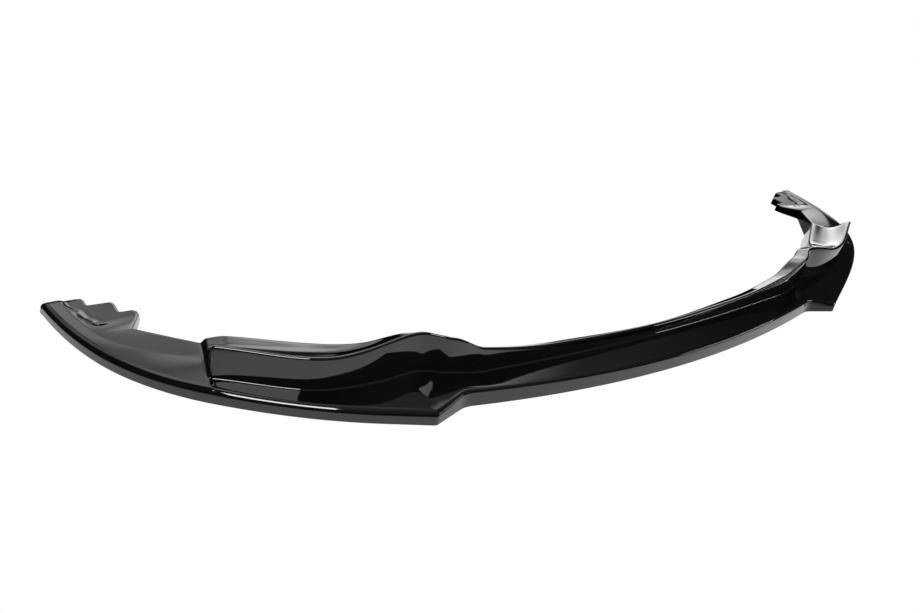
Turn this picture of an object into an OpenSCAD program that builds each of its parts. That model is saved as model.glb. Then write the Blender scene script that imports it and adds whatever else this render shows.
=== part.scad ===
// Front splitter lip for a car bumper: one moulded plastic skin, open underneath.
// X runs across the car, the nose points to -Y and +Z is up. Millimetres.
// The skin is lofted: five lines run along the part (front rim, foot of the wall, top edge,
// rear edge, rear rim), cross sections join them, and the inside is set off by the wall.

/* [Overall] */
// Width across the two arch ends
overall_w = 1804; // [1700:1:1900]
// Thickness of the moulded sheet
wall_t = 3.5; // [3:0.1:4]
// Draft of the front band, degrees
draft = 4; // [2:0.5:6]
// Draft of the rear wall, degrees
rear_draft = 6; // [3:0.5:8]

/* [Front edge] */
// Distance of the notches from the middle
notch_x = 418; // [400:1:430]
// How far the notches lie behind the nose
notch_y = 44; // [36:1:50]
// Rounding of each notch along the edge
notch_r = 12; // [8:1:16]
// Distance of the prong tips from the middle
prong_x = 482; // [470:1:495]
// How far the prong tips lie behind the nose
prong_y = 23; // [15:1:30]
// Direction in which the edge leaves a prong, degrees
prong_angle = 25; // [21:0.5:28]
// Pull of the outer edge at the prong
prong_pull = 270; // [250:1:290]
// Direction in which the edge reaches the arch end, degrees
arch_angle = 83.5; // [80:0.5:86]
// Pull of the outer edge at the arch end
arch_pull = 288; // [265:1:305]
// Rounding between the front band and the blade
band_r = 9; // [6:0.5:11]
// Same rounding along the middle stretch
band_mid_r = 6; // [5:0.5:9]
// Distance from the middle at which the front rim starts to rise off the ground
lift_x = 545; // [530:1:560]
// Height of the front rim over the ground at the wing ends
end_lift = 11.5; // [8:0.5:14]
// Height of the front rim over the ground at the arch ends
tip_lift = 6; // [3:0.5:9]

/* [Front band height] */
// Height of the band in the middle
band_mid_h = 26; // [22:0.5:30]
// Height of the band at the notches
band_notch_h = 28; // [24:0.5:32]
// Height of the band at the prong tips
band_prong_h = 21.5; // [20:0.5:26]
// Height of the band along the wings
band_wing_h = 21; // [18:0.5:24]
// Height of the band at the arch ends
band_arch_h = 15; // [13:0.5:18]

/* [Middle stretch] */
// Distance of the wall's foot from the nose
mid_foot_y = 61; // [54:1:68]
// Height of the wall's foot
mid_foot_h = 27; // [24:0.5:30]
// Lean of the wall
mid_lean = 6; // [4:0.5:8]
// Height of the wall's top edge
mid_top_h = 47; // [42:0.5:50]
// Depth of the ledge behind the top edge
mid_ledge = 10; // [8:1:16]
// Drop of the ledge towards its rear edge
mid_drop = 7; // [4:1:12]

/* [Shoulder] */
// Distance of the shoulder from the middle
shoulder_x = 225; // [200:1:250]
// Height of the top edge there
shoulder_h = 51.5; // [48:0.5:54]
// Depth of the ledge there
shoulder_ledge = 20; // [15:1:26]

/* [Rise to the wings] */
// Distance from the middle at which the wall turns up to the wing
rise_x = 366; // [350:1:380]
// Height of the top edge where it turns up
rise_h = 69; // [65:0.5:72]
// Distance of the wall's foot from the nose there
rise_y = 79.5; // [76:0.5:83]
// Height of the wall's foot there
rise_foot_h = 26.5; // [24:0.5:29]
// Lean of the wall there
rise_lean = 3.5; // [1.5:0.5:5]
// Depth of the ledge there
rise_ledge = 27; // [22:1:32]
// Distance from the middle at which the rise ends
crest_x = 425; // [415:1:435]
// Height of the top edge there
crest_h = 96.5; // [92:0.5:99]
// Distance of the wall's foot from the nose there
crest_y = 90; // [86:0.5:93]
// Lean of the wall there, below zero where it leans forward
crest_lean = -3.5; // [-5:0.5:0]
// Height of the wall's foot there
crest_foot_h = 33; // [30:0.5:35]
// Depth of the ledge there
crest_ledge = 33; // [28:1:38]

/* [Wing peak] */
// Distance of the peak from the middle
peak_x = 470; // [460:1:478]
// Height of the peak
peak_h = 101; // [98:0.5:104]
// Distance of the wall's foot from the nose at the peak
peak_y = 108.5; // [105:0.5:112]
// Height of the wall's foot at the peak
peak_foot_h = 34; // [31:0.5:36]
// Lean of the wall at the peak
peak_lean = 3.5; // [1.5:0.5:5]
// Depth of the top surface at the peak
peak_ledge = 27; // [22:1:32]
// Distance from the middle at which the top surface starts to widen
widen_x = 530; // [520:1:545]
// Depth of the top surface there
widen_ledge = 37; // [32:1:42]
// Distance of the wall's foot from the nose there
widen_y = 111.5; // [108:0.5:114]
// Height of the wall's foot there
widen_foot_h = 29; // [27:0.5:31]
// Lean of the wall there
widen_lean = 2.5; // [1:0.5:5]

/* [Wing] */
// Distance of the wing's shallow middle from the middle of the part
wing_x = 606; // [590:1:620]
// Height of the top edge there
wing_h = 78; // [72:1:84]
// Distance of the wall's foot from the nose there
wing_y = 124.5; // [120:0.5:128]
// Height of the wall's foot there
wing_foot_h = 25; // [23:0.5:28]
// Lean of the wall there
wing_lean = 2; // [1:0.5:4]
// Depth of the top surface there
wing_ledge = 72; // [64:1:80]
// Drop of the top surface towards its rear edge
wing_drop = 20.5; // [17:0.5:23]

/* [Wing end] */
// Distance of the wing's outer corner from the middle
end_x = 746; // [736:1:752]
// Distance of the outer corner from the nose
end_y = 197; // [190:1:202]
// Height of the outer corner
end_h = 85; // [80:1:90]
// Distance of the wall's foot in front of the outer corner
end_lean = 7; // [5:0.5:9]
// Height of the wall's foot at the wing end
end_foot_h = 34.5; // [32:0.5:37]
// Distance of the inner corner from the middle
inner_x = 725; // [718:1:732]
// Distance of the inner corner from the nose
inner_y = 274; // [268:1:280]
// Height of the inner corner
inner_h = 43; // [41:0.5:46]
// Hollow of the top surface at the wing end
end_dish = 12; // [6:1:16]
// Spread of the wing's end face from its top to its foot
end_spread = 4; // [3:0.5:8]
// Distance by which the front rim lies further out than the outer corner
end_out = 6; // [4:1:10]

/* [Wheel arch piece] */
// Distance of the ridge from the middle, where it leaves the wing
ridge_x = 743; // [740:1:748]
// Distance of the ridge from the nose there
ridge_y = 227; // [222:1:232]
// Height of the ridge there
ridge_h = 40; // [36:1:44]
// Distance between the ridge and the edge at the arch end
ridge_inset = 25; // [20:1:30]
// Height of the ridge at the arch end
ridge_end_h = 22; // [19:0.5:24]
// Distance of the inner edge from the middle, where it leaves the wing
arch_in_x = 733; // [730:1:738]
// Distance of the inner edge from the nose there
arch_in_y = 271; // [266:1:276]
// Height of the inner edge there
arch_in_h = 39; // [35:1:43]
// Distance from the middle of the root of the toothed tab
root_x = 802; // [796:1:808]
// Run of the inner edge back from the wing to the root
arch_run = 82; // [74:1:90]
// Length of the tab from the root to the arch end
tab_run = 113; // [104:1:122]
// Height of the inner edge at the root
root_h = 26; // [23:0.5:29]
// Height of the tab's flat top
tab_h = 19.5; // [17:0.5:21]
// Height of the tab's lower edge over the ground
tab_lift = 5; // [2:0.5:7]
// Lean of the arch end's face
tip_lean = 3; // [2:0.5:6]

/* [Teeth] */
// Distance of the front tooth's tip from the middle
tooth_tip = 779; // [774:1:784]
// How far the middle tooth stands back from the front one
tooth_step_1 = 24; // [20:1:28]
// How far the rear tooth stands back from the middle one
tooth_step_2 = 38; // [32:1:44]
// Distance between the rear edges of the front and the middle tooth
tooth_pitch_1 = 31; // [28:0.5:34]
// Distance between the rear edges of the middle and the rear tooth
tooth_pitch_2 = 22; // [19:0.5:24]
// Rounding of the tooth corners
tooth_r = 8; // [6:0.5:9]
// Rounding between the teeth
gullet_r = 5; // [4:0.5:6]

/* [Edges] */
// Rounding of the wall's foot
foot_r = 3; // [2:0.5:6]
// Rounding of the top edge
top_r = 5; // [4:0.5:7]
// Rounding of the top edge at the wing peak
peak_top_r = 6.5; // [5:0.5:8]
// Rounding of the rear edge
rear_r = 5; // [4:0.5:7]

/* [Hidden] */
half_w = overall_w / 2;
root_y = arch_in_y + arch_run;
overall_d = root_y + tab_run;

// Straight blend of two values or points
function mix(a, b, t) = a + (b - a) * t;
function unit(v) = v / norm(v);

// Slopes for a smooth curve through the knots [x, value] of k, flat at its start
function rise(k, i) = (k[i + 1][1] - k[i][1]) / (k[i + 1][0] - k[i][0]);
function slope(k, i) =
    i == 0 ? 0 :
    i == len(k) - 1 ? rise(k, i - 1) :
    rise(k, i - 1) * rise(k, i) <= 0 ? 0 :
    2 * rise(k, i - 1) * rise(k, i) / (rise(k, i - 1) + rise(k, i));

// Smooth curve through the knots of k, which never overshoots them
function span(k, x, i = 0) = i >= len(k) - 2 || x <= k[i + 1][0] ? i : span(k, x, i + 1);
function curve(k, x) =
    let (i = span(k, x), w = k[i + 1][0] - k[i][0], t = min(1, max(0, (x - k[i][0]) / w)))
    (2 * t ^ 3 - 3 * t ^ 2 + 1) * k[i][1] + (t ^ 3 - 2 * t ^ 2 + t) * w * slope(k, i) +
    (3 * t ^ 2 - 2 * t ^ 3) * k[i + 1][1] + (t ^ 3 - t ^ 2) * w * slope(k, i + 1);

// Curves from a to d, with the handles b and c
function cubic(a, b, c, d, t) =
    (1 - t) ^ 3 * a + 3 * (1 - t) ^ 2 * t * b + 3 * (1 - t) * t ^ 2 * c + t ^ 3 * d;
function bend(a, b, d, t) = (1 - t) ^ 2 * a + 2 * t * (1 - t) * b + t ^ 2 * d;

// Front rim from the middle to the prong: a shallow bow, the rounded notch and a straight
function bow(x) = notch_y * (x / notch_x) ^ 2;
function prong_line(x) = mix(notch_y, prong_y, (x - notch_x) / (prong_x - notch_x));
function front_y(x) =
    let (a = notch_x - notch_r, b = notch_x + notch_r)
    x <= a ? bow(x) : x >= b ? prong_line(x) :
    bend(bow(a), notch_y, prong_line(b), (x - a) / (b - a));

// Front rim from the prong to the arch end
prong_tip = [prong_x, prong_y];
arch_tip = [half_w, overall_d];
function outer_rim(t) = cubic(
    prong_tip,
    prong_tip + prong_pull * [cos(prong_angle), sin(prong_angle)],
    arch_tip - arch_pull * [cos(arch_angle), sin(arch_angle)],
    arch_tip,
    t);
// Share of the outer rim at which its coordinate c reaches v
function rim_share(c, v, lo = 0, hi = 1, n = 24) =
    let (m = (lo + hi) / 2)
    n == 0 ? m :
    outer_rim(m)[c] < v ? rim_share(c, v, m, hi, n - 1) : rim_share(c, v, lo, m, n - 1);
wing_share = rim_share(0, end_x + end_out);
foot_share = rim_share(0, end_x + end_out + end_spread);
lift_share = rim_share(0, lift_x);
// Height of the outer rim over the ground, with its highest stretch behind the wing's end
rim_lift = [[lift_share, 0], [wing_share, end_lift], [mix(wing_share, 1, 0.25), end_lift + 1],
    [mix(wing_share, 1, 0.6), mix(end_lift, tip_lift, 0.3)], [1, tip_lift]];
function rim_at(t) = concat(outer_rim(t), [curve(rim_lift, t)]);

// Lines of the wall and of the ledge behind it, by distance from the middle
foot_y = [[0, mid_foot_y], [rise_x, rise_y], [crest_x, crest_y], [peak_x, peak_y],
    [widen_x, widen_y], [wing_x, wing_y], [end_x, end_y - end_lean]];
foot_h = [[0, mid_foot_h], [rise_x, rise_foot_h], [crest_x, crest_foot_h], [peak_x, peak_foot_h],
    [widen_x, widen_foot_h], [wing_x, wing_foot_h], [end_x, end_foot_h]];
lean = [[0, mid_lean], [rise_x, rise_lean], [crest_x, crest_lean], [peak_x, peak_lean],
    [widen_x, widen_lean], [wing_x, wing_lean], [end_x, end_lean]];
top_h = [[0, mid_top_h], [shoulder_x, shoulder_h], [rise_x, rise_h], [crest_x, crest_h],
    [peak_x, peak_h], [wing_x, wing_h], [end_x, end_h]];
band_h = [[0, band_mid_h], [notch_x, band_notch_h], [prong_x, band_prong_h],
    [wing_x, band_wing_h], [end_x, band_wing_h]];
band_round = [[0, band_mid_r], [notch_x, band_mid_r], [prong_x, band_r], [end_x, band_r]];
top_round = [[0, top_r], [rise_x, top_r], [crest_x, peak_top_r], [peak_x, peak_top_r],
    [widen_x, top_r], [end_x, top_r]];
function top_y(x) = curve(foot_y, x) + curve(lean, x);
rear_y = [[0, top_y(0) + mid_ledge], [shoulder_x, top_y(shoulder_x) + shoulder_ledge],
    [rise_x, top_y(rise_x) + rise_ledge], [crest_x, top_y(crest_x) + crest_ledge],
    [peak_x, top_y(peak_x) + peak_ledge], [widen_x, top_y(widen_x) + widen_ledge],
    [wing_x, top_y(wing_x) + wing_ledge],
    [inner_x, inner_y]];
rear_h = [[0, mid_top_h - mid_drop], [shoulder_x, shoulder_h - mix(mid_drop, wing_drop, 0.3)],
    [rise_x, rise_h - mix(mid_drop, wing_drop, 0.6)],
    [crest_x, crest_h - mix(mid_drop, wing_drop, 0.6)],
    [peak_x, peak_h - mix(mid_drop, wing_drop, 0.8)], [wing_x, wing_h - wing_drop],
    [mix(wing_x, inner_x, 0.8), mix(wing_h - wing_drop, inner_h, 0.4)], [inner_x, inner_h]];
dish = [[0, 0], [peak_x, 0], [end_x, end_dish]];

// Three points that round the corner q, reaching d along both sides
function rounded(p, q, n, d) =
    let (a = q + min(d, 0.45 * norm(p - q)) * unit(p - q),
        b = q + min(d, 0.45 * norm(n - q)) * unit(n - q))
    [a, bend(a, q, b, 0.5), b];

// Plan step of length s from r towards q
function plan_step(r, q, s) = unit([q[0] - r[0], q[1] - r[1]]) * s;
// Corner above the rim point r of an upright face of height h, set towards the point q
function set_up(r, q, h) = r + concat(plan_step(r, q, h * tan(draft)), [h]);
// Rim point at height h under the corner q, set away from the point r
function set_down(r, q, h) =
    q + concat(plan_step(r, q, (q[2] - h) * tan(rear_draft)), [h - q[2]]);

// Cross section of the wall stretch through its plan points: rim, foot, top edge and rear edge
function wall_section(rim, foot, top, rear, band, hollow, low_r, high_r) =
    let (low = set_up(rim, foot, band), last = set_down(top, rear, 0),
        band_c = rounded(rim, low, foot, low_r), foot_c = rounded(low, foot, top, foot_r),
        top_c = rounded(foot, top, rear, high_r), rear_c = rounded(top, rear, last, rear_r),
        dip = [0, 0, hollow])
    concat([rim], band_c, [mix(band_c[2], foot_c[0], 0.5)], foot_c,
        [mix(foot_c[2], top_c[0], 0.5)], top_c,
        [mix(top_c[2], rear_c[0], 0.33) - dip, mix(top_c[2], rear_c[0], 0.67) - 0.8 * dip],
        rear_c, [mix(rear_c[2], last, 0.5), last]);

// Section across the car at distance x from the middle
function middle_section(x) = wall_section(
    [x, front_y(x), 0],
    [x, curve(foot_y, x), curve(foot_h, x)],
    [x, top_y(x), curve(top_h, x)],
    [x, curve(rear_y, x), curve(rear_h, x)],
    curve(band_h, x), curve(dish, x), curve(band_round, x), curve(top_round, x));
// Section of the wing at the share w of its length, fanned out towards the wheel
function wing_section(w) =
    let (x = mix(prong_x, end_x, w), xr = mix(prong_x, inner_x, w))
    wall_section(
        rim_at(wing_share * w),
        [x, curve(foot_y, x), curve(foot_h, x)],
        [x, top_y(x), curve(top_h, x)],
        [xr, curve(rear_y, xr), curve(rear_h, xr)],
        curve(band_h, x), curve(dish, x), curve(band_round, x), curve(top_round, x));

// Places of the section's points between rim (0), ridge (1) and inner edge (2) on the arch piece:
// under the wing's end they lie below the points of the wing, further on they spread out
near_wing = [0.14, 0.26, 0.31, 0.36, 0.45, 0.49, 0.54, 0.66, 1.00, 1.45];
spread_out = [0.25, 0.42, 0.55, 0.67, 0.78, 0.87, 0.95, 1.05, 1.25, 1.60];
// Height between the blade's edge, the ridge and the inner edge; where level is 1, the top
// runs flat from the fourth part of the way between ridge and inner edge
function arch_height(edge, ridge, inner, g, level) =
    g <= 1 ? mix(edge, ridge, 1 - (1 - g) ^ 1.5) :
    mix(ridge, inner, mix((g - 1) ^ 1.4, min(1, 4 * (g - 1)), level));
// Cross section of the arch piece through rim, ridge and inner edge, down to the height foot
function arch_section(rim, ridge, inner, band, foot, places, level = 0) =
    let (low = set_up(rim, ridge, band),
        next = mix(low, ridge, places[0]), last = set_down(ridge, inner, foot),
        band_c = rounded(rim, low, next, band_r),
        slope_p = [for (g = places)
            let (p = g <= 1 ? mix(low, ridge, g) : mix(ridge, inner, g - 1))
            [p[0], p[1], arch_height(low[2], ridge[2], inner[2], g, level)]],
        inner_c = rounded(slope_p[9], inner, last, rear_r))
    concat([rim], band_c, slope_p, inner_c, [mix(inner_c[2], last, 0.5), last]);

// Ridge and inner edge between the wing's end and the tab
ridge_start = [ridge_x, ridge_y];
tab_share = rim_share(1, root_y);
ridge_root = outer_rim(tab_share) - [ridge_inset, 0];
ridge_reach = norm(ridge_root - ridge_start) / 3;
rim_way = unit(outer_rim(tab_share + 0.01) - outer_rim(tab_share));
function arch_ridge(a) = cubic(
    ridge_start,
    ridge_start + ridge_reach * unit(ridge_root - ridge_start - 0.5 * ridge_reach * rim_way),
    ridge_root - ridge_reach * rim_way,
    ridge_root,
    a);
ridge_root_h = mix(ridge_h, ridge_end_h, 0.6);
function arch_part(a) =
    let (r = arch_ridge(a))
    arch_section(
        rim_at(mix(foot_share, tab_share, a)),
        [r[0], r[1], mix(ridge_h, ridge_root_h, a)],
        [mix(arch_in_x, root_x, a), mix(arch_in_y, root_y, a), mix(arch_in_h, root_h, a)],
        mix(band_wing_h, band_arch_h, a / 2), a * tab_lift,
        mix(near_wing, spread_out, min(1, 2 * a)));

// Outline of the toothed inner edge as [distance from the middle, distance from the nose]:
// the slanted front of the first tooth, then a rounded tip and a rounded gullet for each tooth
tips = [tooth_tip, tooth_tip + tooth_step_1, tooth_tip + tooth_step_1 + tooth_step_2];
tab_end = overall_d - tip_lean;
backs = [tab_end - tooth_pitch_2 - tooth_pitch_1, tab_end - tooth_pitch_2, tab_end];
front_tip = [tips[0], backs[0] - 1.6 * tooth_r];
root = [root_x, root_y];
function tooth(n) =
    let (x = tips[n], y = backs[n], r = tooth_r)
    [for (t = [0.2, 0.6, 0.9]) bend([x, y - r], [x, y], [x + r, y], t)];
function gullet(n) =
    let (x = tips[n + 1], y = backs[n], r = gullet_r)
    [for (t = [0.1, 0.5, 1]) bend([x - r, y], [x, y], [x, y + r], t)];
tab_outline = concat(
    [mix(root, front_tip, 0.15), mix(root, front_tip, 0.5), mix(root, front_tip, 0.9)],
    [front_tip + [0, 0.3 * tooth_r]],
    tooth(0), gullet(0), tooth(1), gullet(1), tooth(2));

// Section of the tab at point i of its outline: the sections fan out from the ridge, which is
// shared out by the length of the outline
function run(i) =
    i == 0 ? norm(tab_outline[0] - root) : run(i - 1) + norm(tab_outline[i] - tab_outline[i - 1]);
tab_len = run(len(tab_outline) - 1);
function tab_part(i) =
    let (p = tab_outline[i], s = run(i) / tab_len, y = mix(root_y, tab_end, s),
        rim = rim_at(rim_share(1, y)), w = min(1, 3 * s), level = w ^ 2 * (3 - 2 * w))
    arch_section(
        rim,
        [rim[0] - ridge_inset, y, mix(ridge_root_h, ridge_end_h, s)],
        [p[0], p[1], mix(root_h, tab_h, level)],
        mix(band_wing_h, band_arch_h, (1 + s) / 2), tab_lift, spread_out, level);

// All sections of one half, from the middle to the arch end
function split(a, b, n) = [for (i = [0:n - 1]) mix(a, b, i / n)];
middle_stations = concat(split(0, shoulder_x, 5), split(shoulder_x, rise_x, 4),
    split(rise_x, notch_x - notch_r, 2), split(notch_x - notch_r, notch_x + notch_r, 4),
    split(notch_x + notch_r, peak_x, 2), [peak_x]);
wing_stations = [0, 0.06, 0.14, 0.24, 0.35, 0.47, 0.59, 0.71, 0.82, 0.91, 0.97, 1];
// Steps of the wing's end face: share of the spread and share of the fall
end_face = [[0.35, 0.06], [0.6, 0.3], [0.85, 0.85]];
function stepped(a, b, q) =
    [for (j = [0:len(a) - 1])
        let (p = mix(a[j], b[j], q[0])) [p[0], p[1], mix(a[j][2], b[j][2], q[1])]];
// Steps of the arch end's face: share of the lean and share of the height left
tip_face = [[0.25, 0.9], [0.5, 0.68], [1, 0]];
last_tab = tab_part(len(tab_outline) - 1);
function tip_part(q) =
    let (first = last_tab[0], last = last_tab[len(last_tab) - 1], y = mix(first[1], overall_d, q[0]),
        rim = rim_at(rim_share(1, y)))
    [for (p = last_tab)
        let (u = (first[0] - p[0]) / (first[0] - last[0]), low = mix(rim[2], last[2], u))
        [p[0] + (rim[0] - first[0]) * (1 - u), y, mix(low, p[2], q[1])]];

half_sections = concat(
    [for (x = middle_stations) middle_section(x)],
    [for (w = wing_stations) wing_section(w)],
    [for (q = end_face) stepped(wing_section(1), arch_part(0), q)],
    [for (a = [0, 0.1, 0.25, 0.4, 0.55, 0.7, 0.85, 1]) arch_part(a)],
    [for (i = [0:len(tab_outline) - 1]) tab_part(i)],
    [for (q = tip_face) tip_part(q)]);

// Both halves in a row, in the part's own frame
function place(p, side) = [side * p[0], p[1] - overall_d / 2, p[2]];
last_i = len(half_sections) - 1;
outside = [for (i = [-last_i:last_i])
    [for (p = half_sections[abs(i)]) place(p, i < 0 ? -1 : 1)]];
rows = len(outside) - 1;
cols = len(outside[0]) - 1;

// Outward direction of the skin at section i and point j
function lean_out(i, j) = unit(cross(
    outside[min(rows, i + 1)][j] - outside[max(0, i - 1)][j],
    outside[i][min(cols, j + 1)] - outside[i][max(0, j - 1)]));
function level(v) = unit([v[0], v[1], 0]);
function skin_way(i, j) =
    let (end = i == 0 || i == rows, side = j == 0 || j == cols, k = i == 0 ? 1 : rows - 1)
    end && side ? level(lean_out(k, j)) + level(lean_out(i, j == 0 ? 3 : cols - 3)) :
    end || side ? level(lean_out(i, j)) :
    lean_out(i, j);
inside = [for (i = [0:rows]) [for (j = [0:cols]) outside[i][j] - wall_t * skin_way(i, j)]];

// Number of a point in the list of both skins
function at(skin, i, j) = (skin * (rows + 1) + i) * (cols + 1) + j;
// The rim as a loop of section and point numbers
rim_loop = concat([for (i = [0:rows - 1]) [i, 0]], [for (j = [0:cols - 1]) [rows, j]],
    [for (i = [rows:-1:1]) [i, cols]], [for (j = [cols:-1:1]) [0, j]]);

module splitter_lip() {
    skin_points = [for (s = [outside, inside]) for (section = s) for (p = section) p];
    outer_faces = [for (i = [0:rows - 1]) for (j = [0:cols - 1])
        for (f = [[at(0, i, j), at(0, i, j + 1), at(0, i + 1, j)],
            [at(0, i + 1, j), at(0, i, j + 1), at(0, i + 1, j + 1)]]) f];
    inner_faces = [for (i = [0:rows - 1]) for (j = [0:cols - 1])
        for (f = [[at(1, i, j), at(1, i + 1, j), at(1, i, j + 1)],
            [at(1, i + 1, j), at(1, i + 1, j + 1), at(1, i, j + 1)]]) f];
    rim_faces = [for (k = [0:len(rim_loop) - 1])
        let (a = rim_loop[k], b = rim_loop[(k + 1) % len(rim_loop)])
        for (f = [[at(0, a[0], a[1]), at(0, b[0], b[1]), at(1, a[0], a[1])],
            [at(0, b[0], b[1]), at(1, b[0], b[1]), at(1, a[0], a[1])]]) f];
    color("#1a1b1d") polyhedron(skin_points, concat(outer_faces, inner_faces, rim_faces));
}

splitter_lip();
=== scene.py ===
import math
import bpy
from mathutils import Matrix, Vector


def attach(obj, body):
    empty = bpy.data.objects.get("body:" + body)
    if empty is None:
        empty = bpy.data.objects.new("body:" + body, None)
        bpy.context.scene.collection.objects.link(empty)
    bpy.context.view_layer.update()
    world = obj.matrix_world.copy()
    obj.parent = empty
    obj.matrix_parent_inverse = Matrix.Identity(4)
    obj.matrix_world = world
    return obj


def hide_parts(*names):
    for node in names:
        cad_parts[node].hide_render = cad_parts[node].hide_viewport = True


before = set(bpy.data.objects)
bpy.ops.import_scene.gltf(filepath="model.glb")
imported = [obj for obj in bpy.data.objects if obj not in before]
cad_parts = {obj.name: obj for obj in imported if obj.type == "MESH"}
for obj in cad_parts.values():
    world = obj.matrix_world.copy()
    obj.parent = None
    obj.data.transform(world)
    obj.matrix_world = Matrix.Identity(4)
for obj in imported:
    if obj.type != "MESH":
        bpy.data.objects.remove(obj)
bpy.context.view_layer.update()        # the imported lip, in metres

bpy.ops.object.select_all(action="DESELECT")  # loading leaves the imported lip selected

# Camera, from the fit to both halves of the lip in the photograph
view = {
    "place": (-1.138778, -0.979019, 0.790733), "lens": 35.217, "turn": -40.3828, "pitch": 30.3308,
    "roll": 11.7959, "sensor": 36, "sight": 100,
}


def addCamera(v):
    a, e, r = (math.radians(v[k]) for k in ("turn", "pitch", "roll"))
    back = Vector((math.sin(a) * math.cos(e), -math.cos(a) * math.cos(e), math.sin(e)))
    right = (-back).cross(Vector((0, 0, 1))).normalized()
    up = right.cross(-back)
    turned = right * math.cos(r) + up * math.sin(r)
    upright = up * math.cos(r) - right * math.sin(r)
    bpy.ops.object.camera_add(location=v["place"])
    cam = bpy.context.object
    cam.name = "camera"
    faces = Matrix((turned, upright, back)).transposed().to_4x4()
    cam.matrix_world = Matrix.Translation(v["place"]) @ faces
    cam.data.sensor_width = v["sensor"]
    cam.data.lens = v["lens"]
    cam.data.clip_end = v["sight"]
    bpy.context.scene.camera = cam


addCamera(view)
print("camera set")

# The moulding. Sizes in millimetres, from the middle of the lip and from its nose backwards
lip = {
    "halfWidth": 902, "depth": 466, "wall": 3.5, "draft": 4, "rearDraft": 6,
    "notch": (418, 44), "notchRound": 12, "prong": (482, 23), "prongRound": 4,
    "prongAngle": 25, "prongPull": 270, "archAngle": 83.5, "archPull": 288,
    "bandHeight": [(0, 26), (418, 28), (482, 21.5), (606, 21), (746, 21)], "bandEnd": 15,
    "bandRound": [(0, 6), (418, 6), (482, 9), (746, 9)],
    "liftStart": 545, "endLift": 11.5, "tipLift": 6,
    "footBack": [(0, 61), (366, 79.5), (425, 90), (470, 108.5), (530, 111.5), (606, 124.5), (746, 190)],
    "footHeight": [(0, 27), (366, 26.5), (425, 33), (470, 34), (530, 29), (606, 25), (746, 34.5)],
    "lean": [(0, 6), (366, 3.5), (425, -3.5), (470, 3.5), (530, 2.5), (606, 2), (746, 7)],
    "topHeight": [(0, 47), (225, 51.5), (366, 69), (425, 96.5), (470, 101), (606, 78), (746, 85)],
    "ledge": [(0, 10), (225, 20), (366, 27), (425, 33), (470, 27), (530, 37), (606, 72)],
    "ledgeEnd": (725, 274),
    "rearHeight": [(0, 40), (225, 40.45), (366, 53.9), (425, 81.4), (470, 83.2), (606, 57.5),
                   (701.2, 51.7), (725, 43)],
    "dish": [(0, 0), (470, 0), (746, 12)], "dishShape": 1.2,
    "endX": 746, "endOut": 6, "endSpread": 4, "endRound": 4,
    "ridge": (743, 227), "ridgeHeight": 40, "ridgeEnd": 22, "ridgeInset": 25, "ridgeFall": 0.6,
    "rimSwell": 1.5, "archDip": 1.4,
    "archIn": (733, 271), "archInHeight": 39, "root": (802, 353), "rootHeight": 26,
    "tabHeight": 19.5, "tabStep": 3.2, "tabLift": 5, "tipLean": 3,
    "toothTips": (779, 803, 841), "toothGaps": (31, 22), "toothRound": 8, "gulletRound": 5,
    "footRound": 3, "rearRound": 5,
    "topRound": [(0, 5), (366, 5), (425, 6.5), (470, 6.5), (530, 5), (746, 5)],
}

# How finely the skin is divided: points along each leg of a section and round each corner of it,
# then rows along each stretch of the lip, with the spacing of the first two stretches in millimetres
steps = {
    "band": 3, "blade": 8, "wall": 7, "ledge": 11, "rear": 3, "corner": 8,
    "middleEvery": 9, "middleEnd": 396, "notchEvery": 3, "notchRows": 16, "notchReach": 24,
    "prongRows": 7, "edgeRows": 5, "wingRows": 42, "endRows": 7, "archRows": 24, "archEnd": 0.97,
    "rootRows": 3, "tipRows": 4, "tabRoot": 9, "tabStart": 5, "tooth": 8, "toothSide": 5, "gullet": 6,
}
legShare = 0.45  # the most that a rounding takes of the leg beside it
weld = {"mirror": 0.0002, "rows": 0.00002}  # metres
smoothAngle = 40
milli = 0.001


def mix(a, b, t):
    return a + (b - a) * t


def flatXY(p):
    return Vector((p[0], p[1]))


def at(p, z=0.0):
    return Vector((p[0], p[1], z))


def bend(a, b, c, t):  # curve from a to c with its corner at b
    return a * (1 - t) ** 2 + b * (2 * t * (1 - t)) + c * t ** 2


def cubic(p, q, r, s, t):  # curve from p to s with its handles at q and r
    return p * (1 - t) ** 3 + q * (3 * t * (1 - t) ** 2) + r * (3 * t * t * (1 - t)) + s * t ** 3


def ease(t):  # soft rise from 0 to 1
    return t * t * (3 - 2 * t)


def curve(knots, x):  # smooth curve through the knots that never overshoots them
    def rise(i):
        return (knots[i + 1][1] - knots[i][1]) / (knots[i + 1][0] - knots[i][0])

    def slope(i):
        if i == 0:
            return 0.0
        if i == len(knots) - 1:
            return rise(i - 1)
        a, b = rise(i - 1), rise(i)
        return 0.0 if a * b <= 0 else 2 * a * b / (a + b)

    i = 0
    while i < len(knots) - 2 and x > knots[i + 1][0]:
        i += 1
    w = knots[i + 1][0] - knots[i][0]
    t = min(1.0, max(0.0, (x - knots[i][0]) / w))
    return ((2 * t ** 3 - 3 * t ** 2 + 1) * knots[i][1] + (t ** 3 - 2 * t ** 2 + t) * w * slope(i)
            + (3 * t ** 2 - 2 * t ** 3) * knots[i + 1][1] + (t ** 3 - t ** 2) * w * slope(i + 1))


def straight(knots, x):  # straight lines through the knots
    for (a, p), (b, q) in zip(knots, knots[1:]):
        if x <= b:
            return mix(p, q, (x - a) / (b - a))
    return knots[-1][1]


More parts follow.
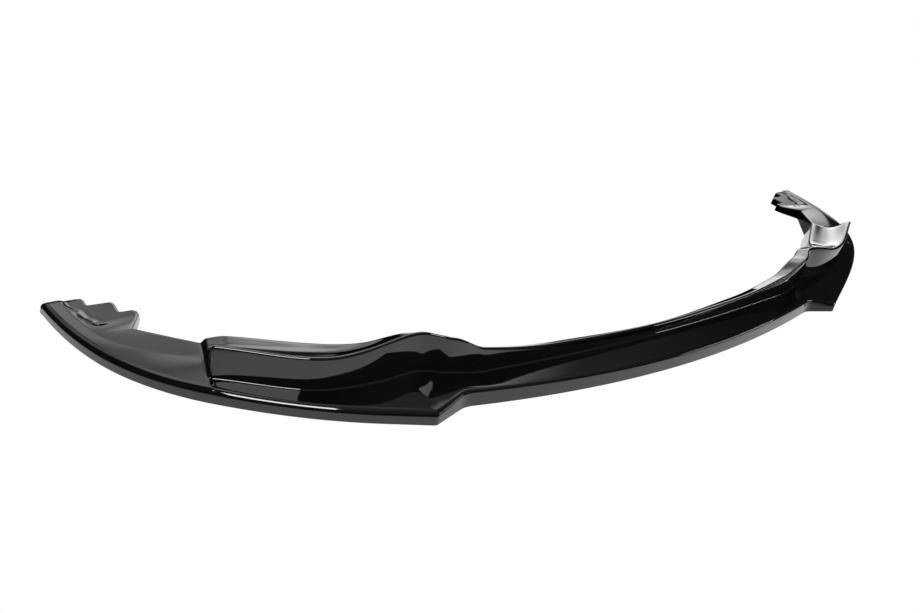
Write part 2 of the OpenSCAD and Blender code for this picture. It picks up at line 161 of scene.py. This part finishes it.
# Front rim: a shallow bow, the rounded notch, the straight to the prong, then one long sweep
def rimBack(x):
    (nx, ny), (px, py) = lip["notch"], lip["prong"]
    bow = lambda q: ny * (q / nx) ** 2
    prongLine = lambda q: mix(ny, py, (q - nx) / (px - nx))
    a, b = nx - lip["notchRound"], nx + lip["notchRound"]
    if x <= a:
        return bow(x)
    if x >= b:
        return prongLine(x)
    return bend(bow(a), ny, prongLine(b), (x - a) / (b - a))


def sweep(t):  # the rim from the prong (0) to the arch end (1)
    p, q = Vector(lip["prong"]), Vector((lip["halfWidth"], lip["depth"]))
    a, b = math.radians(lip["prongAngle"]), math.radians(lip["archAngle"])
    p1 = p + lip["prongPull"] * Vector((math.cos(a), math.sin(a)))
    q1 = q - lip["archPull"] * Vector((math.cos(b), math.sin(b)))
    return cubic(p, p1, q1, q, t)


def sweepShare(axis, value):  # where along the sweep the rim reaches a value in x (0) or y (1)
    low, high = 0.0, 1.0
    for _ in range(40):
        m = (low + high) / 2
        low, high = (m, high) if sweep(m)[axis] < value else (low, m)
    return (low + high) / 2


wingShare = sweepShare(0, lip["endX"] + lip["endOut"])
footShare = sweepShare(0, lip["endX"] + lip["endOut"] + lip["endSpread"])
tabShare = sweepShare(1, lip["root"][1])
rimLift = [(sweepShare(0, lip["liftStart"]), 0), (wingShare, lip["endLift"]),
           (mix(wingShare, 1, 0.25), lip["endLift"] + 1),
           (mix(wingShare, 1, 0.6), mix(lip["endLift"], lip["tipLift"], 0.3)), (1, lip["tipLift"])]


def rimAt(t):
    return at(sweep(t), curve(rimLift, t))


def planStep(a, b, s):  # s millimetres on the level, the way from a to b
    d = flatXY(b) - flatXY(a)
    return at(d.normalized() * s)


def setUp(rim, toward, h):  # top corner of the drafted band
    return rim + planStep(rim, toward, h * math.tan(math.radians(lip["draft"]))) + Vector((0, 0, h))


def setDown(away, edge, z):  # lower end of the drafted rear wall
    drop = edge[2] - z
    draft = math.tan(math.radians(lip["rearDraft"]))
    return edge + planStep(away, edge, drop * draft) - Vector((0, 0, drop))


def arc(a, b, c, n):  # curve from a to c with its corner at b, in n steps
    return [bend(a, b, c, k / n) for k in range(n + 1)]


def corner(a, b, c, reach):  # the corner at b, rounded over no more than a share of either leg
    p = b + (a - b).normalized() * min(reach, legShare * (a - b).length)
    q = b + (c - b).normalized() * min(reach, legShare * (c - b).length)
    return arc(p, b, q, steps["corner"])


def between(a, b, n):  # n even steps between a and b, without either
    return [mix(a, b, (k + 1) / (n + 1)) for k in range(n)]


# Points across the skin, counted from the front rim (0) over band, foot, top edge and rear edge
# to the rear rim (18). Each corner takes up two counts
bandLeg, bladeLeg, wallLeg = steps["band"], steps["blade"], steps["wall"]
ledgeLeg, rearLeg, cornerSteps = steps["ledge"], steps["rear"], steps["corner"]


def cornerPlaces(start):
    return [start + 2 * k / cornerSteps for k in range(cornerSteps + 1)]


places = ([k / bandLeg for k in range(bandLeg)] + cornerPlaces(1) + between(3, 5, bladeLeg)
          + cornerPlaces(5) + between(7, 9, wallLeg) + cornerPlaces(9) + between(11, 14, ledgeLeg)
          + cornerPlaces(14) + between(16, 18, rearLeg) + [18])
topPlaces = [v for v in places if 3 < v < 14]


def wallSection(rim, foot, top, rear, band, hollow, lowRound, highRound):
    low, last = setUp(rim, foot, band), setDown(top, rear, 0)
    b, f = corner(rim, low, foot, lowRound), corner(low, foot, top, lip["footRound"])
    t, r = corner(foot, top, rear, highRound), corner(top, rear, last, lip["rearRound"])
    ledge = [p - Vector((0, 0, hollow * math.sin(math.pi * (k + 1) / (ledgeLeg + 1)) ** lip["dishShape"]))
             for k, p in enumerate(between(t[-1], r[0], ledgeLeg))]
    return ([mix(rim, b[0], k / bandLeg) for k in range(bandLeg)] + b + between(b[-1], f[0], bladeLeg) + f
            + between(f[-1], t[0], wallLeg) + t + ledge + r + between(r[-1], last, rearLeg) + [last])


def topBack(x):
    return curve(lip["footBack"], x) + curve(lip["lean"], x)


rearBack = [(x, topBack(x) + d) for x, d in lip["ledge"]] + [lip["ledgeEnd"]]


def sectionAt(x, xr, rim):
    return wallSection(
        rim, Vector((x, curve(lip["footBack"], x), curve(lip["footHeight"], x))),
        Vector((x, topBack(x), curve(lip["topHeight"], x))),
        Vector((xr, curve(rearBack, xr), curve(lip["rearHeight"], xr))),
        curve(lip["bandHeight"], x), curve(lip["dish"], x), curve(lip["bandRound"], x),
        curve(lip["topRound"], x))


def middleSection(x):
    return sectionAt(x, x, Vector((x, rimBack(x), 0)))


def wingSection(w):
    px = lip["prong"][0]
    return sectionAt(mix(px, lip["endX"], w), mix(px, lip["ledgeEnd"][0], w), rimAt(wingShare * w))


# The wheel arch piece: rim, ridge and inner edge. Where the points across its top stand:
# 0 is the band, 1 the ridge, 2 the inner edge
archBand, archBandRound = lip["bandHeight"][-1][1], lip["bandRound"][-1][1]
spread = [(4, 0.25), (5, 0.42), (6, 0.55), (7, 0.67), (8, 0.78), (9, 0.87), (10, 0.95), (11, 1.05),
          (12, 1.25), (13, 1.60)]


def archHeight(edge, ridge, inner, g, level):  # level 0 is the open arch piece, 1 the flat tab
    if g <= 1:
        return mix(edge, ridge, 1 - (1 - g) ** lip["rimSwell"])
    u = g - 1
    return mix(ridge, inner, mix(u ** lip["archDip"], ease(min(1.0, lip["tabStep"] * u)), level))


def archSection(rim, ridge, inner, band, foot, shares, level=0.0):
    low = setUp(rim, ridge, band)
    reach, back = (flatXY(ridge) - flatXY(low)).length, (flatXY(inner) - flatXY(ridge)).length
    start, end = archBandRound / reach, 2 - lip["rearRound"] / back

    def topPoint(g):
        p = mix(flatXY(low), flatXY(ridge), g) if g <= 1 else mix(flatXY(ridge), flatXY(inner), g - 1)
        return at(p, archHeight(low[2], ridge[2], inner[2], g, level))

    b = corner(rim, low, topPoint(start * 2.2), archBandRound)
    top = [topPoint(min(end - 0.01, max(start * 1.02, g))) for g in shares]
    last = setDown(ridge, inner, foot)
    r = corner(topPoint(end), Vector(inner), last, lip["rearRound"])
    r[0] = topPoint(end)
    return ([mix(rim, b[0], k / bandLeg) for k in range(bandLeg)] + b + top + r
            + between(r[-1], last, rearLeg) + [last])


ridgeStart, ridgeRoot = Vector(lip["ridge"]), sweep(tabShare) - Vector((lip["ridgeInset"], 0))
ridgeReach = (ridgeRoot - ridgeStart).length / 3
rimWay = (sweep(tabShare + 0.01) - sweep(tabShare)).normalized()
ridgeHandle = ridgeStart + ridgeReach * (ridgeRoot - ridgeStart - 0.5 * ridgeReach * rimWay).normalized()
ridgeRootHeight = mix(lip["ridgeHeight"], lip["ridgeEnd"], lip["ridgeFall"])


def archRidge(a):
    return cubic(ridgeStart, ridgeHandle, ridgeRoot - ridgeReach * rimWay, ridgeRoot, a)


def spreadShares(reach, back):
    knots = [(3, archBandRound / reach)] + spread + [(14, 2 - lip["rearRound"] / back)]
    return [straight(knots, v) for v in topPlaces]


def besideWing():  # shares that keep the first arch section under the points of the wing's end
    rim, ridge, inner = rimAt(footShare), Vector(lip["ridge"]), Vector(lip["archIn"])
    low = setUp(rim, at(ridge), archBand)
    shares = []
    for v, p in zip(places, wingSection(1)):
        if 3 < v < 14:
            g = (p[1] - low[1]) / (ridge[1] - low[1])
            shares.append(g if g <= 1 else 1 + (p[1] - ridge[1]) / (inner[1] - ridge[1]))
    return shares


wingShares = besideWing()


def archPart(a):
    r = archRidge(a)
    rim = rimAt(mix(footShare, tabShare, a))
    inner = at(mix(Vector(lip["archIn"]), Vector(lip["root"]), a),
               mix(lip["archInHeight"], lip["rootHeight"], a))
    low = setUp(rim, r, archBand)
    far = spreadShares((r - flatXY(low)).length, (flatXY(inner) - r).length)
    w = min(1.0, 2 * a)
    return archSection(rim, at(r, mix(lip["ridgeHeight"], ridgeRootHeight, a)), inner,
                       mix(archBand, lip["bandEnd"], a / 2), a * lip["tabLift"],
                       [mix(g, h, w) for g, h in zip(wingShares, far)])


# Outline of the toothed tab, from its root to the arch end
tabEnd = lip["depth"] - lip["tipLean"]
toothBacks = (tabEnd - sum(lip["toothGaps"]), tabEnd - lip["toothGaps"][1], tabEnd)


def tabOutline():
    root, tr, gr = Vector(lip["root"]), lip["toothRound"], lip["gulletRound"]
    tipX, side = lip["toothTips"], steps["toothSide"]
    first = Vector((tipX[0], toothBacks[0] - 1.6 * tr))
    slant = (root - first).normalized()
    line = between(root, first + slant * tr, steps["tabRoot"] - 1)
    line += arc(first + slant * tr, first, first + Vector((0, 0.7 * tr)), steps["tabStart"])
    for n in range(3):
        x, y = tipX[n], toothBacks[n]
        if n:
            line += between(Vector((x, toothBacks[n - 1] + gr)), Vector((x, y - tr)), side - 1)
        line += arc(Vector((x, y - tr)), Vector((x, y)), Vector((x + tr, y)), steps["tooth"])
        if n < 2:
            nx = tipX[n + 1]
            line += between(Vector((x + tr, y)), Vector((nx - gr, y)), side - 1)
            line += arc(Vector((nx - gr, y)), Vector((nx, y)), Vector((nx, y + gr)), steps["gullet"])
    return line


def tabSections():
    line, root = tabOutline(), Vector(lip["root"])
    run, total = [], 0.0
    for a, b in zip([root] + line, line):
        total += (b - a).length
        run.append(total)
    sections = []
    for p, r in zip(line, run):
        s = r / total
        y = mix(lip["root"][1], tabEnd, s)
        rim = rimAt(sweepShare(1, y))
        level = ease(min(1.0, 3 * s))  # flat after the first third
        ridge = Vector((rim[0] - lip["ridgeInset"], y, mix(ridgeRootHeight, lip["ridgeEnd"], s)))
        band = mix(archBand, lip["bandEnd"], (1 + s) / 2)
        low = setUp(rim, ridge, band)
        shares = spreadShares((flatXY(ridge) - flatXY(low)).length, (p - flatXY(ridge)).length)
        edge = at(p, mix(lip["rootHeight"], lip["tabHeight"], level))
        sections.append(archSection(rim, ridge, edge, band, lip["tabLift"], shares, level))
    return sections


def blendRows(a, b, t):
    return [mix(p, q, t) for p, q in zip(a, b)]


def roundRows(a, b, c, n):  # rows that round the edge at row b, between rows a and c
    return [[bend(p, q, r, (k + 1) / (n + 1)) for p, q, r in zip(a, b, c)] for k in range(n)]


def halfLoft():  # rows of points from the middle of the lip to its right end
    nx, px = lip["notch"][0], lip["prong"][0]
    st, start = steps, nx - steps["notchReach"]
    rows = [middleSection(x) for x in range(0, st["middleEnd"], st["middleEvery"])]
    rows += [middleSection(start + st["notchEvery"] * k) for k in range(st["notchRows"] + 1)]
    start += st["notchEvery"] * (st["notchRows"] + 1)
    stop, n = px - lip["prongRound"], st["prongRows"]
    rows += [middleSection(mix(start, stop, k / n)) for k in range(n)]
    edge = lip["prongRound"] / (lip["endX"] - px)
    a, b = middleSection(stop), wingSection(edge)
    rows += [a] + roundRows(a, wingSection(0), b, st["edgeRows"]) + [b]
    last = 1 - lip["endRound"] / (lip["endX"] - px)
    rows += [wingSection(mix(edge, last, (k + 1) / st["wingRows"])) for k in range(st["wingRows"])]
    top, foot = wingSection(1), archPart(0)
    fall = lip["endRound"] / (lip["topHeight"][-1][1] - lip["ridgeHeight"])
    upper, lower = blendRows(top, foot, fall), blendRows(top, foot, 1 - fall)
    rows += roundRows(rows[-1], top, upper, st["edgeRows"]) + [upper]
    n = st["endRows"]
    rows += [blendRows(upper, lower, (k + 1) / n) for k in range(n - 1)] + [lower]
    run = lip["endRound"] / (2 * ridgeReach)
    rows += roundRows(lower, foot, archPart(run), st["edgeRows"])
    rows += [archPart(mix(run, st["archEnd"], k / st["archRows"])) for k in range(st["archRows"] + 1)]
    tab = tabSections()
    rows += roundRows(rows[-1], archPart(1), tab[0], st["rootRows"]) + tab
    # the drafted face at the arch end
    first, end = tab[-1][0], tab[-1][-1]

    def tipRow(lean, left):
        y = mix(tabEnd, lip["depth"], lean)
        rim = rimAt(sweepShare(1, y))
        row = []
        for p in tab[-1]:
            u = (first[0] - p[0]) / (first[0] - end[0])
            z = mix(rim[2], end[2], u)
            row.append(Vector((p[0] + (rim[0] - first[0]) * (1 - u), y, mix(z, p[2], left))))
        return row

    # how far the rounding at the tip leans out and what share of the height it keeps
    lean, left, n = 0.3, 0.75, st["tipRows"]
    rows += roundRows(tab[-2], tab[-1], tipRow(lean, left), n)
    rows += [tipRow(mix(lean, 1, k / n), mix(left, 0, k / n)) for k in range(n + 1)]
    return rows


def addLip():
    rows = halfLoft()
    wide, long = len(rows[0]), len(rows)
    bpy.ops.mesh.primitive_grid_add(
        x_subdivisions=wide - 1, y_subdivisions=long - 1, size=1, location=(0, 0, 0))
    piece = bpy.context.object
    piece.name = "lipSkin"
    for v in piece.data.vertices:  # every point of the flat grid goes to its place on the loft
        i, j = round((v.co.y + 0.5) * (long - 1)), round((v.co.x + 0.5) * (wide - 1))
        p = rows[i][j]
        v.co = (p[0] * milli, (p[1] - lip["depth"] / 2) * milli, p[2] * milli)
    bpy.ops.object.modifier_add(type="MIRROR")  # the other half
    piece.modifiers[-1].merge_threshold = weld["mirror"]
    bpy.ops.object.modifier_apply(modifier=piece.modifiers[-1].name)
    bpy.ops.object.mode_set(mode="EDIT")
    bpy.ops.mesh.select_all(action="SELECT")
    bpy.ops.mesh.remove_doubles(threshold=weld["rows"])
    bpy.ops.object.mode_set(mode="OBJECT")
    if sum(f.normal.z * f.area for f in piece.data.polygons) < 0:  # the top has to face up
        piece.data.flip_normals()
    bpy.ops.object.modifier_add(type="SOLIDIFY")  # the thickness of the moulding, inwards
    thick = piece.modifiers[-1]
    thick.thickness, thick.offset = lip["wall"] * milli, -1
    bpy.ops.object.modifier_apply(modifier=thick.name)
    half, back = lip["halfWidth"] * milli, lip["depth"] / 2 * milli
    for v in piece.data.vertices:  # nothing sticks out past the solid's own box
        v.co = (max(-half, min(half, v.co.x)), max(-back, min(back, v.co.y)), max(0.0, v.co.z))
    bpy.ops.object.shade_smooth_by_angle(angle=math.radians(smoothAngle))
    print("lip skin:", len(piece.data.polygons), "faces")
    return piece


lipSkin = addLip()
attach(lipSkin, "root")
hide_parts("splitter_lip")

# Gloss black plastic, with the slight ripple of a moulded sheet
gloss = {
    "colour": (0.002, 0.002, 0.0022, 1), "index": 1.5, "roughness": 0.03, "haze": 0.01, "hazeSize": 9,
    "hazeDetail": 4, "ripple": 0.02, "rippleSize": 60, "rippleDepth": 0.001,
}


def addGloss(g):
    mat = bpy.data.materials.new("glossBlackPlastic")
    mat.use_nodes = True
    nodes, links = mat.node_tree.nodes, mat.node_tree.links
    shader = nodes["Principled BSDF"]
    shader.inputs["Base Color"].default_value = g["colour"]
    shader.inputs["IOR"].default_value = g["index"]
    where = nodes.new("ShaderNodeTexCoord")
    haze = nodes.new("ShaderNodeTexNoise")  # faint clouds in the polish
    haze.inputs["Scale"].default_value = g["hazeSize"]
    haze.inputs["Detail"].default_value = g["hazeDetail"]
    span = nodes.new("ShaderNodeMapRange")
    span.inputs["To Min"].default_value = g["roughness"] - g["haze"]
    span.inputs["To Max"].default_value = g["roughness"] + g["haze"]
    ripple = nodes.new("ShaderNodeTexNoise")
    ripple.inputs["Scale"].default_value = g["rippleSize"]
    bump = nodes.new("ShaderNodeBump")
    bump.inputs["Strength"].default_value = g["ripple"]
    bump.inputs["Distance"].default_value = g["rippleDepth"]
    links.new(where.outputs["Object"], haze.inputs["Vector"])
    links.new(where.outputs["Object"], ripple.inputs["Vector"])
    links.new(haze.outputs["Fac"], span.inputs["Value"])
    links.new(span.outputs["Result"], shader.inputs["Roughness"])
    links.new(ripple.outputs["Fac"], bump.inputs["Height"])
    links.new(bump.outputs["Normal"], shader.inputs["Normal"])
    return mat


glossBlack = addGloss(gloss)
lipSkin.data.materials.clear()
lipSkin.data.materials.append(glossBlack)
print("material set")

# White studio: white to the camera, dark round the front for the gloss, soft light above and behind
studio = {
    "floorSize": 14, "dark": 0.03,
    "floorDrop": 0.001, "floorColour": (0.9, 0.9, 0.9, 1), "floorRoughness": 0.8,
    # brightness of the floor in the gloss (1 is white), more of it from the middle to the right,
    # none where it is seen at a low angle
    "floorGlow": 1.33, "floorRight": (0.2, 2.2, 1.2), "floorFade": (0.60, 0.78),
    # where each lamp stands, what it is turned to, width, height, brightness
    "lamps": {
        "keyLamp": ((-1.257, -1.176, 1.262), (-0.7, -0.1, 0), 0.83, 0.85, 20),
        "rightStrip": ((1.636, -1.2525, 0.045), (0.168, 0, 0.045), 0.77, 0.075, 20),
    },
    # soft glows on the studio walls: degrees from the middle of a glow to where its fall begins
    # and ends, then for each glow degrees round from ahead to the right, degrees up, brightness
    "spans": {"broad": (12, 36), "wide": (6, 22), "medium": (4, 14), "small": (2, 9)},
    "glows": {
        "broad": [(60, 72, 0.28), (150, 54, 0.23), (47, 18, 0.1), (0, 36, 0.11)],
        "wide": [(167, 33, 0.86), (180, 66, 1.84)],
        "medium": [(130, 14, 2.17), (138, 7, 1.46), (146, 35, 1.17), (166, 7, 0.85), (150, 21, 2.6),
                   (-161, 42, 0.86)],
        "small": [(120, 0, 2.34), (119, 55, 1.55), (174, 30, 0.7), (160, 40, 1.32), (141, 40, 2.71),
                  (130, 0, 1.53)],
    },
}


def whiteBehind(nodes, links, shader, out, seen, glow):  # white wherever the rays named in seen arrive
    path = nodes.new("ShaderNodeLightPath")
    kind = "ShaderNodeBackground" if out.bl_idname == "ShaderNodeOutputWorld" else "ShaderNodeEmission"
    last, whites = shader, []
    for ray, strength in zip(seen, glow):
        white = nodes.new(kind)
        white.inputs["Color"].default_value = (1, 1, 1, 1)
        white.inputs["Strength"].default_value = strength
        pick = nodes.new("ShaderNodeMixShader")
        links.new(path.outputs[ray], pick.inputs["Fac"])
        links.new(last.outputs[0], pick.inputs[1])
        links.new(white.outputs[0], pick.inputs[2])
        last = pick
        whites.append(white)
    links.new(last.outputs[0], out.inputs["Surface"])
    return whites


def smoothSpan(nodes, links, value, low, high, start, end):
    # start where the value is below low, end where it is above high, a smooth rise or fall between
    span = nodes.new("ShaderNodeMapRange")
    span.interpolation_type = "SMOOTHSTEP"
    for key, number in (("From Min", low), ("From Max", high), ("To Min", start), ("To Max", end)):
        span.inputs[key].default_value = number
    links.new(value, span.inputs["Value"])
    return span.outputs["Result"]


def joined(nodes, links, kind, first, second):  # the sum or product of two values
    both = nodes.new("ShaderNodeMath")
    both.operation = kind
    links.new(first, both.inputs[0])
    links.new(second, both.inputs[1])
    return both.outputs[0]


def addWalls(s):
    world = bpy.data.worlds.new("studioWorld")
    bpy.context.scene.world = world
    world.use_nodes = True
    nodes, links = world.node_tree.nodes, world.node_tree.links
    walls = nodes["Background"]
    walls.inputs["Color"].default_value = (1, 1, 1, 1)
    whiteBehind(nodes, links, walls, nodes["World Output"], ["Is Camera Ray"], [1])
    where = nodes.new("ShaderNodeTexCoord")
    plain = nodes.new("ShaderNodeValue")
    plain.outputs[0].default_value = s["dark"]
    total = plain.outputs[0]
    for size, spots in s["glows"].items():
        inner, outer = (math.cos(math.radians(v)) for v in s["spans"][size])
        for around, up, bright in spots:
            a, e = math.radians(around), math.radians(up)
            flat = math.cos(e)
            near = nodes.new("ShaderNodeVectorMath")
            near.operation = "DOT_PRODUCT"
            near.inputs[1].default_value = (math.sin(a) * flat, -math.cos(a) * flat, math.sin(e))
            links.new(where.outputs["Generated"], near.inputs[0])
            soft = smoothSpan(nodes, links, near.outputs["Value"], outer, inner, 0, bright)
            total = joined(nodes, links, "ADD", total, soft)
    links.new(total, walls.inputs["Strength"])


def addFloor(s):
    bpy.ops.mesh.primitive_plane_add(size=s["floorSize"], location=(0, 0, -s["floorDrop"]))
    floor = bpy.context.object
    floor.name = "floor"
    mat = bpy.data.materials.new("floorWhite")
    mat.use_nodes = True
    nodes, links = mat.node_tree.nodes, mat.node_tree.links
    shader = nodes["Principled BSDF"]
    shader.inputs["Base Color"].default_value = s["floorColour"]
    shader.inputs["Roughness"].default_value = s["floorRoughness"]
    rays = ["Is Glossy Ray", "Is Camera Ray"]
    glow, _ = whiteBehind(nodes, links, shader, nodes["Material Output"], rays, [1, 1])
    facing = nodes.new("ShaderNodeLayerWeight")
    facing.inputs["Blend"].default_value = 0.5
    near = smoothSpan(nodes, links, facing.outputs["Facing"], *s["floorFade"], 1, 0)
    where, apart = nodes.new("ShaderNodeTexCoord"), nodes.new("ShaderNodeSeparateXYZ")
    links.new(where.outputs["Object"], apart.inputs["Vector"])
    (left, right, more), least = s["floorRight"], s["floorGlow"]
    across = smoothSpan(nodes, links, apart.outputs["X"], left, right, least, least + more)
    links.new(joined(nodes, links, "MULTIPLY", near, across), glow.inputs["Strength"])
    floor.data.materials.append(mat)


def addStudio(s):
    addWalls(s)
    addFloor(s)
    for name, (place, aim, wide, tall, bright) in s["lamps"].items():
        bpy.ops.object.light_add(type="AREA", location=place)
        lamp = bpy.context.object
        lamp.name = name
        lamp.rotation_euler = (Vector(place) - Vector(aim)).to_track_quat("Z", "Y").to_euler()
        lamp.data.shape = "RECTANGLE"
        lamp.data.size, lamp.data.size_y = wide, tall
        lamp.data.energy = bright * math.pi * wide * tall
        lamp.visible_camera = False
    bpy.context.scene.view_settings.view_transform = "Standard"


addStudio(studio)
print("studio set")
